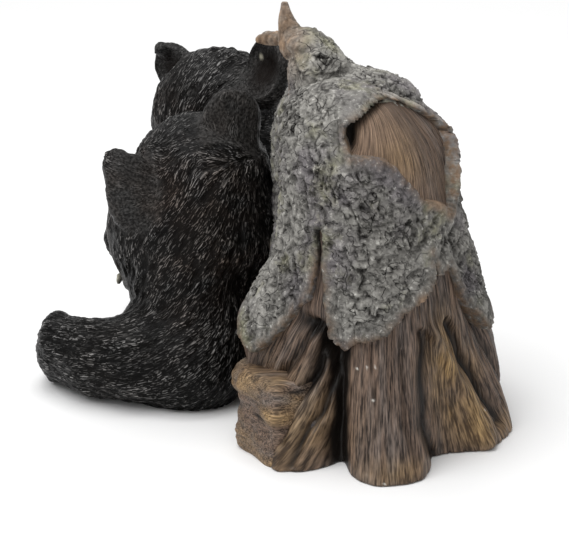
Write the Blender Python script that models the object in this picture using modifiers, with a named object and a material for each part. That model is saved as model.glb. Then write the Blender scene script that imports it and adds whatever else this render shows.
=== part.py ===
"""Garden statue of two bear cubs that sit hugged together in front of a broken tree stump.

The statue is one hollow casting of painted resin, so it is one closed solid that stands on
its flat underside. Its forms are worked out in the side frame, the statue seen from behind
the stump: X to the right, Y away from the viewer, Z up, with the ground at Z = 0. The whole
is then turned so that the cubs' side, the front of the statue, faces -Y.
"""

import math

import bmesh
import bpy
import numpy as np
from mathutils import Matrix, Vector

# Driving sizes, in metres.
STATUE_HEIGHT = 0.317        # ground to the tip of the broken spike
BARK_THICKNESS = 0.0042      # how far the bark stands proud of the wood under it
FUR_DEPTH = 0.0022           # depth of the broad tufts carved on both cubs
WOOD_GRAIN_DEPTH = 0.0026    # depth of the grooves in the bare wood and the roots
EAR_CUP_DEPTH = 0.0075       # how deep the cubs' ears are hollowed
SKIN_FINENESS = 0.0026       # size of the cells that melt the forms into one skin
FACET_COUNT = 9600           # triangles in the finished solid

# The pose, the proportions and the carving are shares of the statue's height: the numbers
# below count 317ths of it, which are millimetres on the real statue.
SHARE = STATUE_HEIGHT / 317.0
TURN_TO_FRONT = math.radians(130.0)
TUFT_LENGTH = 17.0
TUFT_WIDTH = 11.0

# Stump: plan centre and the half-widths of its oval trunk, from the ground up.
STUMP_CENTRE = (-2.0, 45.0)
TRUNK_HEIGHTS = (0.0, 36.0, 68.0, 92.0, 120.0, 140.0, 159.0, 198.0, 240.0)
TRUNK_HALF_WIDTHS = (80.0, 79.0, 77.0, 75.0, 71.5, 67.5, 65.0, 61.0, 58.0)
TRUNK_DEPTH_RATIO = 1.3      # the trunk is deeper than wide
SHOULDER_HEIGHT = 200.0      # where the trunk starts to round over to its broken top
CROWN_HEIGHT = 270.0         # top of that rounding
LEAN_START = 120.0           # the trunk leans over above this height
CROWN_SHIFT = (-24.0, -6.0)  # how far its top has then moved

# Roots: bearing in degrees, reach from the trunk at the ground, half-width in degrees,
# and the height over which the root dies into the trunk.
ROOTS = (
    (-23.0, 30.0, 18.0, 100.0),
    (-85.0, 38.0, 16.0, 90.0),
    (-122.0, 38.0, 13.0, 85.0),
    (-149.0, 30.0, 20.0, 130.0),
    (12.0, 18.0, 18.0, 110.0),
    (52.0, 30.0, 16.0, 85.0),
    (88.0, 26.0, 16.0, 80.0),
    (-37.0, 15.0, 9.0, 40.0),
)
# Crevices between the roots: bearing, depth and half-width in degrees. All end at one height.
CREVICES = (
    (-103.0, 15.0, 5.5), (-38.0, 13.0, 9.0), (-60.0, 6.0, 5.0), (25.0, 9.0, 8.0), (72.0, 10.0, 9.0),
)
CREVICE_HEIGHT = 100.0
# Swells of the trunk: bearing, height, depth, half-width in degrees and half-height. The first
# is the side that the cubs lean on, the second the bark that hangs out over the sawn root.
SWELLS = ((124.0, 90.0, 32.0, 26.0, 190.0), (-164.0, 86.0, 17.0, 24.0, 34.0), (-20.0, 240.0, 4.0, 30.0, 30.0),
    (5.0, 230.0, 7.0, 34.0, 34.0))

# Lower edge of the bark: bearing in degrees and height. It hangs down in ragged tongues.
BARK_EDGE = (
    (-180.0, 112.0), (-166.0, 100.0), (-155.0, 84.0), (-145.0, 74.0), (-135.0, 93.0), (-129.0, 111.0),
    (-121.0, 122.0), (-117.5, 152.0), (-115.0, 128.0), (-109.0, 99.0), (-103.0, 92.0), (-97.0, 99.0),
    (-86.0, 106.0), (-80.0, 119.0), (-70.0, 125.0), (-62.0, 134.0), (-59.0, 156.0), (-56.0, 138.0),
    (-47.0, 142.0), (-42.0, 116.0), (-34.0, 102.0), (-25.0, 84.0), (-12.0, 92.0), (4.0, 84.0),
    (20.0, 112.0), (38.0, 92.0), (60.0, 118.0), (80.0, 96.0), (100.0, 124.0), (125.0, 100.0),
    (150.0, 128.0), (180.0, 112.0),
)
# Oval patches where the bark is gone: bearing, height, half-width in degrees, half-height.
BARE_PATCHES = ((-66.0, 238.0, 28.0, 19.0), (-46.0, 216.0, 21.0, 29.0), (62.0, 196.0, 17.0, 34.0))

# Broken top: chunks of bark and wood that stand up beside the cubs' heads,
# each a centre and three half-sizes.
BROKEN_TOP = (
    ((-50.0, 64.0, 270.0), (21.0, 30.0, 26.0)),
    ((-58.0, 69.0, 284.0), (16.0, 21.0, 16.0)),
    ((-42.0, 62.0, 262.0), (20.0, 26.0, 24.0)),
    ((-78.0, 90.0, 282.0), (19.0, 22.0, 6.5)),
    ((-38.0, 76.0, 238.0), (32.0, 46.0, 40.0)),
    ((-24.0, 60.0, 246.0), (44.0, 44.0, 26.0)),
    ((-10.0, 48.0, 247.5), (46.0, 46.0, 24.0)),
)
SPIKE = ((-63.0, 72.0, 284.0, 13.0), (-68.0, 76.0, 302.0, 6.5), (-69.5, 79.0, 317.0, 2.4))
# The sawn-off root beside the nestling cub: centre, half-sizes and the way its cut end faces.
ROOT_STUB = ((-54.0, -24.0, 28.0), (31.0, 34.0, 34.0), -146.0)
ROOT_STUB_HEEL = ((-82.0, 0.0, 45.0), (26.0, 26.0, 18.0))


def heights_between(bearings, table):
    """Height of the bark edge at each bearing, straight between the table's points."""
    table = np.array(table)
    return np.interp(bearings, table[:, 0], table[:, 1])


def angle_gap(a, b):
    """Difference of two bearings in degrees, brought to between -180 and 180."""
    return (a - b + 180.0) % 360.0 - 180.0


def ripple(points, length):
    """Smooth, uneven waves from -1 to 1 over space: a sum of sines in unlike directions."""
    p = points / length
    x, y, z = p[..., 0], p[..., 1], p[..., 2]
    waves = np.sin(6.3 * x + 1.7 * np.sin(4.1 * y)) + np.sin(5.7 * y + 1.9 * np.sin(5.2 * z) + 1.0)
    waves += np.sin(6.9 * z + 1.6 * np.sin(4.7 * x) + 2.0)
    return waves / 3.0


def bark_cover(bearings, heights):
    """How much of the bark's thickness stands at a bearing and height, from 0 to 1."""
    edge = heights_between(bearings, BARK_EDGE)
    cover = np.clip((heights - edge) / 3.0, 0.0, 1.0)
    for bearing, height, half_width, half_height in BARE_PATCHES:
        across = angle_gap(bearings, bearing) / half_width
        up = (heights - height) / half_height
        cover = np.minimum(cover, np.clip((np.hypot(across, up) - 1.0) * 6.0, 0.0, 1.0))
    return cover


def stump_radius(bearings, heights):
    """Plan radius of the stump: oval trunk, root flares, crevices, grain and bark layer."""
    turn = np.radians(bearings)
    half_width = np.interp(heights, TRUNK_HEIGHTS, TRUNK_HALF_WIDTHS)
    oval = 1.0 / np.hypot(np.cos(turn), np.sin(turn) / TRUNK_DEPTH_RATIO)
    radius = half_width * oval
    for bearing, reach, half, fade in ROOTS:
        across = np.exp(-(angle_gap(bearings, bearing) / half) ** 2)
        radius += reach * across * np.exp(-(heights / fade) ** 1.4 * 1.3)
    for bearing, height, depth, half, half_height in SWELLS:
        away = (angle_gap(bearings, bearing) / half) ** 2 + ((heights - height) / half_height) ** 2
        radius += depth * np.exp(-away)
    for bearing, depth, half in CREVICES:
        across = np.exp(-(angle_gap(bearings, bearing) / half) ** 2)
        radius -= depth * across * np.clip(1.0 - heights / CREVICE_HEIGHT, 0.0, 1.0)
    cover = bark_cover(bearings, heights)
    grain = np.sin(turn * 34.0 + 1.5 * np.sin(heights / 23.0)) + 0.6 * np.sin(turn * 57.0 + 2.0)
    grain_depth = WOOD_GRAIN_DEPTH / SHARE
    plates = ripple(np.stack([turn * 70.0, heights, heights * 0.0], -1), 46.0)
    bark_depth = BARK_THICKNESS / SHARE
    return radius + (1.0 - cover) * grain * grain_depth * 0.45 + cover * bark_depth * (1.0 + 0.45 * plates)


def stump_surface(bearings, climb):
    """Points of the stump: climb 0 to 1 goes from under its middle, up its side, to its top."""
    under, side = 0.08, 0.80
    rise = np.clip((climb - under) / (side - under), 0.0, 1.0)
    over = np.clip((climb - side) / (1.0 - side), 0.0, 1.0)
    heights = SHOULDER_HEIGHT * rise
    heights = heights + (CROWN_HEIGHT - SHOULDER_HEIGHT) * np.sin(over * math.pi / 2.0)
    shrink = np.clip(climb / under, 0.0, 1.0) * np.cos(over * math.pi / 2.0) ** 0.8
    radius = stump_radius(bearings, heights) * shrink
    turn = np.radians(bearings)
    lean = np.clip((heights - LEAN_START) / (CROWN_HEIGHT - LEAN_START), 0.0, 1.0) ** 1.5
    x = STUMP_CENTRE[0] + radius * np.cos(turn) + CROWN_SHIFT[0] * lean
    y = STUMP_CENTRE[1] + radius * np.sin(turn) + CROWN_SHIFT[1] * lean
    return np.stack([x, y, heights - 3.0 * (climb < under)], -1)


# Cubs: each form is a ball with three half-sizes, or a limb of balls that taper along a path,
# with x, y, z and radius at each point. All of it is in the side frame.
NESTLING_CUB_BALLS = (
    ((-150.0, 86.0, 33.0), (61.0, 58.0, 50.0)),
    ((-142.0, 103.0, 132.0), (64.0, 48.0, 42.0)),
)
NESTLING_CUB_LIMBS = (
    ((-147.0, 90.0, 36.0, 50.0), (-146.0, 95.0, 66.0, 51.0), (-145.0, 100.0, 98.0, 53.0),
     (-142.0, 104.0, 130.0, 55.0), (-136.0, 110.0, 160.0, 54.0)),
    ((-174.0, 98.0, 144.0, 30.0), (-184.0, 102.0, 114.0, 25.0), (-182.0, 120.0, 86.0, 22.0),
     (-172.0, 148.0, 82.0, 19.0), (-158.0, 170.0, 90.0, 17.0)),
    ((-108.0, 96.0, 146.0, 28.0), (-100.0, 99.0, 118.0, 25.0), (-106.0, 124.0, 94.0, 21.0),
     (-124.0, 152.0, 92.0, 17.0)),
    ((-156.0, 80.0, 42.0, 40.0), (-190.0, 66.0, 35.0, 32.0), (-218.0, 78.0, 31.0, 30.0),
     (-240.0, 94.0, 30.0, 27.0)),
    ((-124.0, 118.0, 40.0, 36.0), (-140.0, 150.0, 32.0, 27.0), (-152.0, 176.0, 29.0, 24.0)),
)
NESTLING_CUB_FEET = (
    ((-251.0, 101.0, 30.0), (17.0, 27.0, 29.0)),
    ((-157.0, 186.0, 29.0), (26.0, 15.0, 29.0)),
)
# The casting closes the hollows between the two cubs and between the cubs and the stump.
CLOSED_HOLLOWS = (
    ((-112.0, 154.0, 44.0), (40.0, 46.0, 62.0)),
    ((-82.0, 132.0, 64.0), (28.0, 46.0, 74.0)),
)
HUGGING_CUB_BALLS = (
    ((-106.0, 206.0, 36.0), (59.0, 60.0, 52.0)),
    ((-113.0, 206.0, 140.0), (46.0, 56.0, 40.0)),
)
HUGGING_CUB_LIMBS = (
    ((-106.0, 206.0, 44.0, 52.0), (-107.0, 206.0, 76.0, 51.0), (-110.0, 206.0, 108.0, 50.0),
     (-114.0, 206.0, 142.0, 48.0), (-122.0, 207.0, 180.0, 48.0)),
    ((-140.0, 184.0, 146.0, 24.0), (-172.0, 176.0, 132.0, 19.0), (-194.0, 156.0, 118.0, 17.0),
     (-199.0, 138.0, 108.0, 16.0)),
    ((-92.0, 232.0, 146.0, 24.0), (-106.0, 256.0, 116.0, 20.0), (-140.0, 256.0, 96.0, 17.0),
     (-166.0, 236.0, 96.0, 16.0)),
    ((-128.0, 204.0, 40.0, 36.0), (-157.0, 212.0, 32.0, 26.0), (-177.0, 222.0, 28.0, 23.0)),
    ((-112.0, 236.0, 40.0, 38.0), (-150.0, 258.0, 31.0, 26.0), (-180.0, 270.0, 28.0, 24.0)),
)
HUGGING_CUB_FEET = (
    ((-184.0, 224.0, 30.0), (15.0, 25.0, 29.0)),
    ((-188.0, 273.0, 30.0), (16.0, 25.0, 29.0)),
)
CUB_BALLS = NESTLING_CUB_BALLS + NESTLING_CUB_FEET + CLOSED_HOLLOWS + HUGGING_CUB_BALLS + HUGGING_CUB_FEET
CUB_LIMBS = NESTLING_CUB_LIMBS + HUGGING_CUB_LIMBS

# Heads: centre, radius, the way to the cub's own right, and the way the muzzle points.
NESTLING_HEAD = ((-135.0, 112.0, 166.0), 55.0, (0.83, 0.20, 0.50), (-0.74, 0.62, -0.22))
HUGGING_HEAD = ((-124.0, 208.0, 195.0), 54.0, (-0.80, 0.52, 0.02), (-0.42, -0.66, -0.62))

# Ears: centre, radius, half-thickness, the way the ear points from the head, and the way
# its hollow faces.
EARS = (
    ((-186.0, 76.0, 171.0), 27.0, 9.5, (-0.60, -0.06, 0.70), (-0.12, 0.96, 0.08)),
    ((-111.0, 100.0, 219.0), 25.0, 9.0, (0.15, -0.10, 0.98), (-0.30, 0.90, -0.20)),
    ((-81.0, 170.0, 240.0), 28.0, 9.5, (0.50, -0.10, 0.80), (-0.68, -0.68, 0.05)),
    ((-160.0, 234.0, 225.0), 21.0, 9.0, (-0.60, 0.40, 0.70), (-0.70, -0.60, 0.10)),
)

# The head's own forms: place and half-sizes as shares of the head's radius, in the head's
# frame of right, forward and up.
HEAD_FORMS = (
    ((0.00, 0.00, 0.00), (1.00, 0.98, 0.93)),
    ((0.48, 0.25, -0.26), (0.50, 0.55, 0.50)),
    ((-0.48, 0.25, -0.26), (0.50, 0.55, 0.50)),
    ((0.00, 0.86, -0.26), (0.42, 0.56, 0.36)),
    ((0.00, 0.78, -0.48), (0.34, 0.48, 0.22)),
    ((0.00, 0.62, 0.10), (0.34, 0.42, 0.30)),
    ((0.00, 1.38, -0.13), (0.19, 0.13, 0.14)),
    ((0.34, 0.80, 0.24), (0.19, 0.15, 0.10)),
    ((-0.34, 0.80, 0.24), (0.19, 0.15, 0.10)),
)
EYE_PLACE = (0.36, 0.90, 0.10)


def head_frame(right, forward):
    """Right, forward and up as the columns of a square matrix, made exactly square on."""
    forward = Vector(forward).normalized()
    right = Vector(right)
    right = (right - right.dot(forward) * forward).normalized()
    return Matrix((right, forward, right.cross(forward))).transposed()


def ear_frame(points_to, hollow_faces):
    """Columns: across the ear, the way its hollow faces, and the way the ear points."""
    up = Vector(points_to).normalized()
    out = Vector(hollow_faces)
    out = (out - out.dot(up) * up).normalized()
    return Matrix((out.cross(up), out, up)).transposed()


def add_ball(mesh, centre, half_sizes, frame=None):
    """Add an egg-shaped ball with three half-sizes, lined up with the frame given."""
    turn = (frame or Matrix.Identity(3)).to_4x4()
    size = Matrix.Diagonal((*half_sizes, 1.0))
    bmesh.ops.create_uvsphere(
        mesh, u_segments=24, v_segments=16, radius=1.0, matrix=Matrix.Translation(centre) @ turn @ size
    )


def add_block(mesh, centre, half_sizes, bearing):
    """Add a box whose first half-size points along a bearing in degrees."""
    turn = Matrix.Rotation(math.radians(bearing), 4, "Z")
    size = Matrix.Diagonal((*half_sizes, 1.0))
    bmesh.ops.create_cube(mesh, size=2.0, matrix=Matrix.Translation(centre) @ turn @ size)


def add_limb(mesh, path):
    """Add a limb: balls close together along a smooth path whose radius tapers with it."""
    stops = np.linspace(0.0, len(path) - 1.0, 7 * (len(path) - 1) + 1)
    table = np.array(path)
    smooth = np.stack([np.interp(stops, range(len(path)), table[:, i]) for i in range(4)], -1)
    smooth[1:-1] = (smooth[:-2] + 2.0 * smooth[1:-1] + smooth[2:]) / 4.0
    for x, y, z, radius in smooth:
        bmesh.ops.create_icosphere(
            mesh, subdivisions=2, radius=radius, matrix=Matrix.Translation((x, y, z))
        )


def add_head(mesh, head):
    """Add a cub's skull, cheeks, brows, muzzle, chin and nose in the head's own frame."""
    centre, radius, right, forward = head
    frame = head_frame(right, forward)
    for place, half_sizes in HEAD_FORMS:
        spot = Vector(centre) + frame @ (Vector(place) * radius)
        add_ball(mesh, spot, [size * radius for size in half_sizes], frame)


def add_ear(mesh, ear):
    """Add an ear as a thick upright disc; its hollow is pressed in later."""
    centre, radius, half_thickness, points_to, hollow_faces = ear
    frame = ear_frame(points_to, hollow_faces)
    add_ball(mesh, centre, (radius, half_thickness, radius), frame)
    root = Vector(centre) - frame.col[2] * radius * 0.5
    add_ball(mesh, root, (radius * 0.85, half_thickness * 1.5, radius * 0.7), frame)


def add_stump(mesh):
    """Add the trunk with its roots: a sphere whose points are moved to the stump's surface."""
    made = bmesh.ops.create_uvsphere(mesh, u_segments=220, v_segments=150, radius=1.0)
    verts = made["verts"]
    points = np.array([v.co for v in verts])
    bearings = np.degrees(np.arctan2(points[:, 1], points[:, 0]))
    climb = 1.0 - np.arccos(np.clip(points[:, 2], -1.0, 1.0)) / math.pi
    for vert, place in zip(verts, stump_surface(bearings, climb)):
        vert.co = place
    for centre, half_sizes in BROKEN_TOP:
        add_ball(mesh, centre, half_sizes)
    add_limb(mesh, SPIKE)
    add_block(mesh, *ROOT_STUB)
    add_ball(mesh, *ROOT_STUB_HEEL)


def mesh_points(mesh):
    """The mesh's corner points as an array, one row each."""
    flat = np.empty(len(mesh.vertices) * 3)
    mesh.vertices.foreach_get("co", flat)
    return flat.reshape(-1, 3)


def mesh_normals(mesh):
    """The mesh's outward directions at its corner points, one row each."""
    flat = np.empty(len(mesh.vertices) * 3)
    mesh.vertices.foreach_get("normal", flat)
    return flat.reshape(-1, 3)


def nearness(points, centre, reach):
    """1 at a centre, falling smoothly to 0 at the reach from it."""
    away = np.linalg.norm(points - np.array(centre), axis=1) / reach
    return np.clip(1.0 - away, 0.0, 1.0) ** 2 * (3.0 - 2.0 * np.clip(1.0 - away, 0.0, 1.0))


def cub_share(points):
    """1 on the cubs and 0 on the stump, by which of the two a point is nearer to."""
    cubs = np.full(len(points), 1e9)
    for centre, half_sizes in CUB_BALLS:
        gap = np.linalg.norm((points - centre) / half_sizes, axis=1) - 1.0
        cubs = np.minimum(cubs, gap * min(half_sizes))
    for path in CUB_LIMBS:
        for x, y, z, radius in path:
            cubs = np.minimum(cubs, np.linalg.norm(points - (x, y, z), axis=1) - radius)
    for centre, radius, _, _ in (NESTLING_HEAD, HUGGING_HEAD):
        cubs = np.minimum(cubs, np.linalg.norm(points - centre, axis=1) - radius)
    for centre, radius, *_ in EARS:
        cubs = np.minimum(cubs, np.linalg.norm(points - centre, axis=1) - radius)
    return np.clip(0.5 - cubs / 8.0, 0.0, 1.0)


def fur_tufts(points):
    """Rows of overlapping tufts from 0 to 1, combed down and across the cubs' backs."""
    around = np.arctan2(points[:, 1] - 150.0, points[:, 0] + 130.0) * 75.0
    along = -(0.85 * points[:, 2] + 0.45 * around) + 5.0 * ripple(points, 90.0)
    across = 0.85 * around - 0.45 * points[:, 2] + 4.0 * ripple(points[:, ::-1], 70.0)
    row = along / TUFT_LENGTH
    side = np.abs((across / TUFT_WIDTH + 0.5 * np.floor(row)) % 1.0 - 0.5) * 2.0
    tip = (row + 0.45 * side ** 2) % 1.0
    return tip * (1.0 - 0.5 * side ** 2)


def carve(mesh):
    """Press in the ears, eyes and nostrils and raise the tufts of fur on the melted skin."""
    points = mesh_points(mesh)
    normals = mesh_normals(mesh)
    moved = points.copy()
    cubs = cub_share(points)
    bare = np.zeros(len(points))
    for centre, radius, _, points_to, hollow_faces in EARS:
        frame = np.array(ear_frame(points_to, hollow_faces))
        local = (points - centre) @ frame
        inside = np.clip(1.0 - np.hypot(local[:, 0], local[:, 2]) / (radius * 0.72), 0.0, 1.0)
        facing = np.clip(normals @ frame[:, 1], 0.0, 1.0) * (np.abs(local[:, 1]) < radius * 0.7)
        moved -= (facing * inside ** 0.6 * EAR_CUP_DEPTH / SHARE)[:, None] * frame[:, 1]
        bare = np.maximum(bare, nearness(points, centre, radius * 1.2))
    for centre, radius, right, forward in (NESTLING_HEAD, HUGGING_HEAD):
        frame = np.array(head_frame(right, forward))
        local = (points - centre) @ frame / radius
        muzzle = np.clip((local[:, 1] - 0.75) * 2.5, 0.0, 1.0) * (np.linalg.norm(local, axis=1) < 1.7)
        bare = np.maximum(bare, muzzle)
        for side in (-1.0, 1.0):
            eye = np.array(centre) + frame @ (np.array(EYE_PLACE) * (side, 1.0, 1.0)) * radius
            moved -= (nearness(points, eye, radius * 0.20) * radius * 0.07)[:, None] * frame[:, 1]
    tufts = (fur_tufts(points) - 0.4) * cubs * (1.0 - bare) * np.clip(points[:, 2] / 8.0, 0.0, 1.0)
    moved += normals * (tufts * FUR_DEPTH / SHARE)[:, None]
    mesh.vertices.foreach_set("co", moved.ravel())
    mesh.update()


def finished(thing):
    """The object's mesh with its modifiers carried out, as a mesh of its own."""
    seen = thing.evaluated_get(bpy.context.evaluated_depsgraph_get())
    return bpy.data.meshes.new_from_object(seen)


def swap_mesh(thing, mesh):
    """Give the object a new mesh and clear its modifiers."""
    old = thing.data
    thing.modifiers.clear()
    thing.data = mesh
    bpy.data.meshes.remove(old)


def painted_resin():
    """Near-black and brown paint over cast resin: half rough, not metallic."""
    material = bpy.data.materials.new("painted_resin")
    material.use_nodes = True
    shader = material.node_tree.nodes["Principled BSDF"]
    shader.inputs["Base Color"].default_value = (0.075, 0.062, 0.052, 1.0)
    shader.inputs["Roughness"].default_value = 0.55
    shader.inputs["Metallic"].default_value = 0.0
    return material


def cut_flat(mesh):
    """Slice off what lies under the ground plane and close the cut as a flat underside."""
    shape = bmesh.new()
    shape.from_mesh(mesh)
    everything = shape.verts[:] + shape.edges[:] + shape.faces[:]
    cut = bmesh.ops.bisect_plane(
        shape, geom=everything, plane_co=(0.0, 0.0, 0.0), plane_no=(0.0, 0.0, -1.0), clear_outer=True
    )
    rims = [e for e in cut["geom_cut"] if isinstance(e, bmesh.types.BMEdge)]
    bmesh.ops.triangle_fill(shape, edges=rims, use_beauty=True, use_dissolve=False)
    bmesh.ops.recalc_face_normals(shape, faces=shape.faces[:])
    shape.to_mesh(mesh)
    shape.free()


def keep_largest(mesh):
    """Drop crumbs that the melting left loose from the main body."""
    shape = bmesh.new()
    shape.from_mesh(mesh)
    left = set(shape.verts)
    islands = []
    while left:
        island, edge_of_island = set(), [left.pop()]
        while edge_of_island:
            vert = edge_of_island.pop()
            island.add(vert)
            near = [e.other_vert(vert) for e in vert.link_edges]
            fresh = [v for v in near if v in left]
            left.difference_update(fresh)
            edge_of_island.extend(fresh)
        islands.append(island)
    islands.sort(key=len)
    crumbs = [v for island in islands[:-1] for v in island]
    bmesh.ops.delete(shape, geom=crumbs, context="VERTS")
    shape.to_mesh(mesh)
    shape.free()


def build_statue():
    """Melt all the forms into one skin, carve it, thin it out and cut it flat underneath."""
    shape = bmesh.new()
    for centre, half_sizes in CUB_BALLS:
        add_ball(shape, centre, half_sizes)
    for path in CUB_LIMBS:
        add_limb(shape, path)
    add_head(shape, NESTLING_HEAD)
    add_head(shape, HUGGING_HEAD)
    for ear in EARS:
        add_ear(shape, ear)
    add_stump(shape)
    mesh = bpy.data.meshes.new("bear_cubs_and_stump")
    shape.to_mesh(mesh)
    shape.free()
    statue = bpy.data.objects.new("bear_cubs_and_stump", mesh)
    collection = bpy.data.collections.new("Bear cubs statue")
    bpy.context.scene.collection.children.link(collection)
    collection.objects.link(statue)

    melt = statue.modifiers.new("Melt", "REMESH")
    melt.mode = "VOXEL"
    melt.voxel_size = SKIN_FINENESS / SHARE
    soften = statue.modifiers.new("Soften", "SMOOTH")
    soften.factor = 0.5
    soften.iterations = 4
    swap_mesh(statue, finished(statue))
    keep_largest(statue.data)
    carve(statue.data)

    thin = statue.modifiers.new("Thin", "DECIMATE")
    thin.ratio = FACET_COUNT / (2.0 * len(statue.data.polygons))
    thin.use_collapse_triangulate = True
    swap_mesh(statue, finished(statue))
    statue.data.transform(Matrix.Rotation(TURN_TO_FRONT, 4, "Z") @ Matrix.Scale(SHARE, 4))
    cut_flat(statue.data)
    points = mesh_points(statue.data)
    middle = (points.min(0) + points.max(0)) / 2.0
    statue.data.transform(Matrix.Translation((-middle[0], -middle[1], 0.0)))
    statue.data.materials.append(painted_resin())
    statue.data.shade_smooth()
    return statue


for old_object in list(bpy.data.objects):
    bpy.data.objects.remove(old_object)
build_statue()
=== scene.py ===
"""Looks of the bear cubs and tree stump statue: a hand-painted resin casting on a pale floor."""

import math

import bpy
import numpy as np
from mathutils import Matrix, Vector


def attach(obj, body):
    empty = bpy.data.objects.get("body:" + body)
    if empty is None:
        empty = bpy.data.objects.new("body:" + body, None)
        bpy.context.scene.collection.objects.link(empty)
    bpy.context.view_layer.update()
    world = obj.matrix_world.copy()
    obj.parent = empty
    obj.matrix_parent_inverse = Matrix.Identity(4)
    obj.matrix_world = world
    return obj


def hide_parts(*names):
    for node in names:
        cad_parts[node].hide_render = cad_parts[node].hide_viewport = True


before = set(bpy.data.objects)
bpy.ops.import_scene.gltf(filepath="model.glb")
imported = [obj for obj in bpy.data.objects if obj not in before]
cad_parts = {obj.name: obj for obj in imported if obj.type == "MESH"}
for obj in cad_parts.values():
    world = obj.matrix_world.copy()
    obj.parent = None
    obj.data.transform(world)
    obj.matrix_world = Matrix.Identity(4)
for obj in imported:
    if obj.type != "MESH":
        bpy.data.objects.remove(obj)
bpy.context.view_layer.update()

# The side frame.
# The statue is worked out in millimetres as seen from the photograph's side: X to the right,
# Y away from the viewer, Z up. The casting is turned so that the cubs' side faces -Y, and
# it is put in place by the tip of the spike, the highest corner of the cast solid.
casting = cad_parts["bear_cubs_and_stump"]
TURN_TO_FRONT = math.radians(130.0)
SPIKE_TIP = (-69.5, 79)
corners = np.array([v.co for v in casting.data.vertices])
tip = corners[corners[:, 2].argmax()]
side_turn = np.array(Matrix.Rotation(TURN_TO_FRONT, 3, "Z"))
side_shift = np.array([*(tip[:2] - (side_turn @ (*SPIKE_TIP, 0.0))[:2] / 1000.0), 0.0])


def in_place(points):
    """Metres in the statue's own frame: side-frame millimetres turned 130 degrees and shifted."""
    return np.asarray(points) / 1000.0 @ side_turn.T + side_shift


# Camera and studio.
# The photograph looks 20 degrees down from 1.7 m with a long lens, at a plain white sweep
# under large soft lights.
LOOK_AT = (-69.6, 0, 135)
CAMERA_DISTANCE = 1700.0
CAMERA_DROP = math.radians(20.0)
LENS_MM = 144.6
STUDIO_STRENGTH = 0.52

aim = Vector(in_place(LOOK_AT))
away = np.array((0.0, -math.cos(CAMERA_DROP), math.sin(CAMERA_DROP))) * CAMERA_DISTANCE
camera = bpy.data.objects.new("camera", bpy.data.cameras.new("camera"))
camera.location = in_place(np.array(LOOK_AT) + away)
camera.rotation_euler = (aim - camera.location).to_track_quat("-Z", "Y").to_euler()
camera.data.lens = LENS_MM
bpy.context.scene.collection.objects.link(camera)
bpy.context.scene.camera = camera
bpy.context.scene.view_settings.view_transform = "Standard"

world = bpy.data.worlds.new("white_studio")
world.use_nodes = True
backdrop = world.node_tree.nodes["Background"]
backdrop.inputs["Color"].default_value = (1.0, 1.0, 1.0, 1.0)
backdrop.inputs["Strength"].default_value = STUDIO_STRENGTH
bpy.context.scene.world = world


def studio_light(name, kind, place, power, spread):
    """A soft light at a side-frame place, aimed at the middle of the statue."""
    light = bpy.data.lights.new(name, kind)
    light.energy = power
    setattr(light, "angle" if kind == "SUN" else "size", spread)
    lamp = bpy.data.objects.new(name, light)
    lamp.location = in_place(place)
    lamp.rotation_euler = (aim - lamp.location).to_track_quat("-Z", "Y").to_euler()
    bpy.context.scene.collection.objects.link(lamp)


studio_light("overhead_sweep", "SUN", (-900.0, -500.0, 2000.0), 1.75, math.radians(50.0))
studio_light("top_box", "AREA", (-200.0, 350.0, 1300.0), 6.0, 0.7)


class Wire:
    """A shader socket that takes part in sums; each operator adds its Math node."""

    def __init__(self, socket):
        self.socket = socket

    def node(self, kind, settings, inputs, output=0):
        """Add a node: its settings first, then its sockets. Gives one of its outputs."""
        tree = self.socket.id_data
        made = tree.nodes.new(kind)
        for name, value in settings.items():
            setattr(made, name, value)
        for key, value in inputs.items():
            if isinstance(value, Wire):
                tree.links.new(value.socket, made.inputs[key])
            else:
                made.inputs[key].default_value = value
        return Wire(made.outputs[output])

    def maths(self, operation, *values):
        """A Math node of this operation on the values given, in their order."""
        return self.node("ShaderNodeMath", {"operation": operation}, dict(enumerate(values)))

    def vector(self, operation, *values, output=0):
        """A Vector Math node of this operation on the values given, in their order."""
        inputs = dict(enumerate(values))
        return self.node("ShaderNodeVectorMath", {"operation": operation}, inputs, output)

    def scaled(self, factor):
        """This vector times a number or a number's wire."""
        return self.node("ShaderNodeVectorMath", {"operation": "SCALE"}, {0: self, "Scale": factor})

    def __add__(self, other):
        return self.maths("ADD", self, other)

    def __sub__(self, other):
        return self.maths("SUBTRACT", self, other)

    def __rsub__(self, other):
        return self.maths("SUBTRACT", other, self)

    def __mul__(self, other):
        return self.maths("MULTIPLY", self, other)

    __radd__ = __add__
    __rmul__ = __mul__

    def between(self, low, high):
        """0 below low and 1 above high, straight between."""
        return self.node("ShaderNodeMapRange", {"clamp": True}, {0: self, 1: low, 2: high})

    def mix(self, first, second):
        """A colour that goes from the first to the second as this socket goes from 0 to 1."""
        ends = [(*end, 1.0) if isinstance(end, tuple) else end for end in (first, second)]
        return self.node("ShaderNodeMix", {"data_type": "RGBA"}, {0: self, 6: ends[0], 7: ends[1]}, 2)

    def read(self, name, output="Fac"):
        """A number or vector that the mesh carries under this name."""
        return self.node("ShaderNodeAttribute", {"attribute_name": name}, {}, output)

    def noise(self, scale, detail=2.0, roughness=0.5):
        """Smooth noise round 0.5 at this place, so many waves to the metre."""
        sockets = {"Vector": self, "Scale": scale, "Detail": detail, "Roughness": roughness}
        return self.node("ShaderNodeTexNoise", {}, sockets)

    def veins(self, scale, width):
        """Thin winding lines, 1 on the line, where noise of this scale crosses its middle."""
        wave = self.noise(scale, 1.0)
        return 1.0 - wave.maths("ABSOLUTE", wave - 0.5).between(0.0, width)

    def bump(self, distance):
        """A normal for a face that stands out by this socket times a distance in metres."""
        inputs = {"Strength": 1.0, "Distance": distance, "Height": self}
        return self.node("ShaderNodeBump", {}, inputs)


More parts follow.
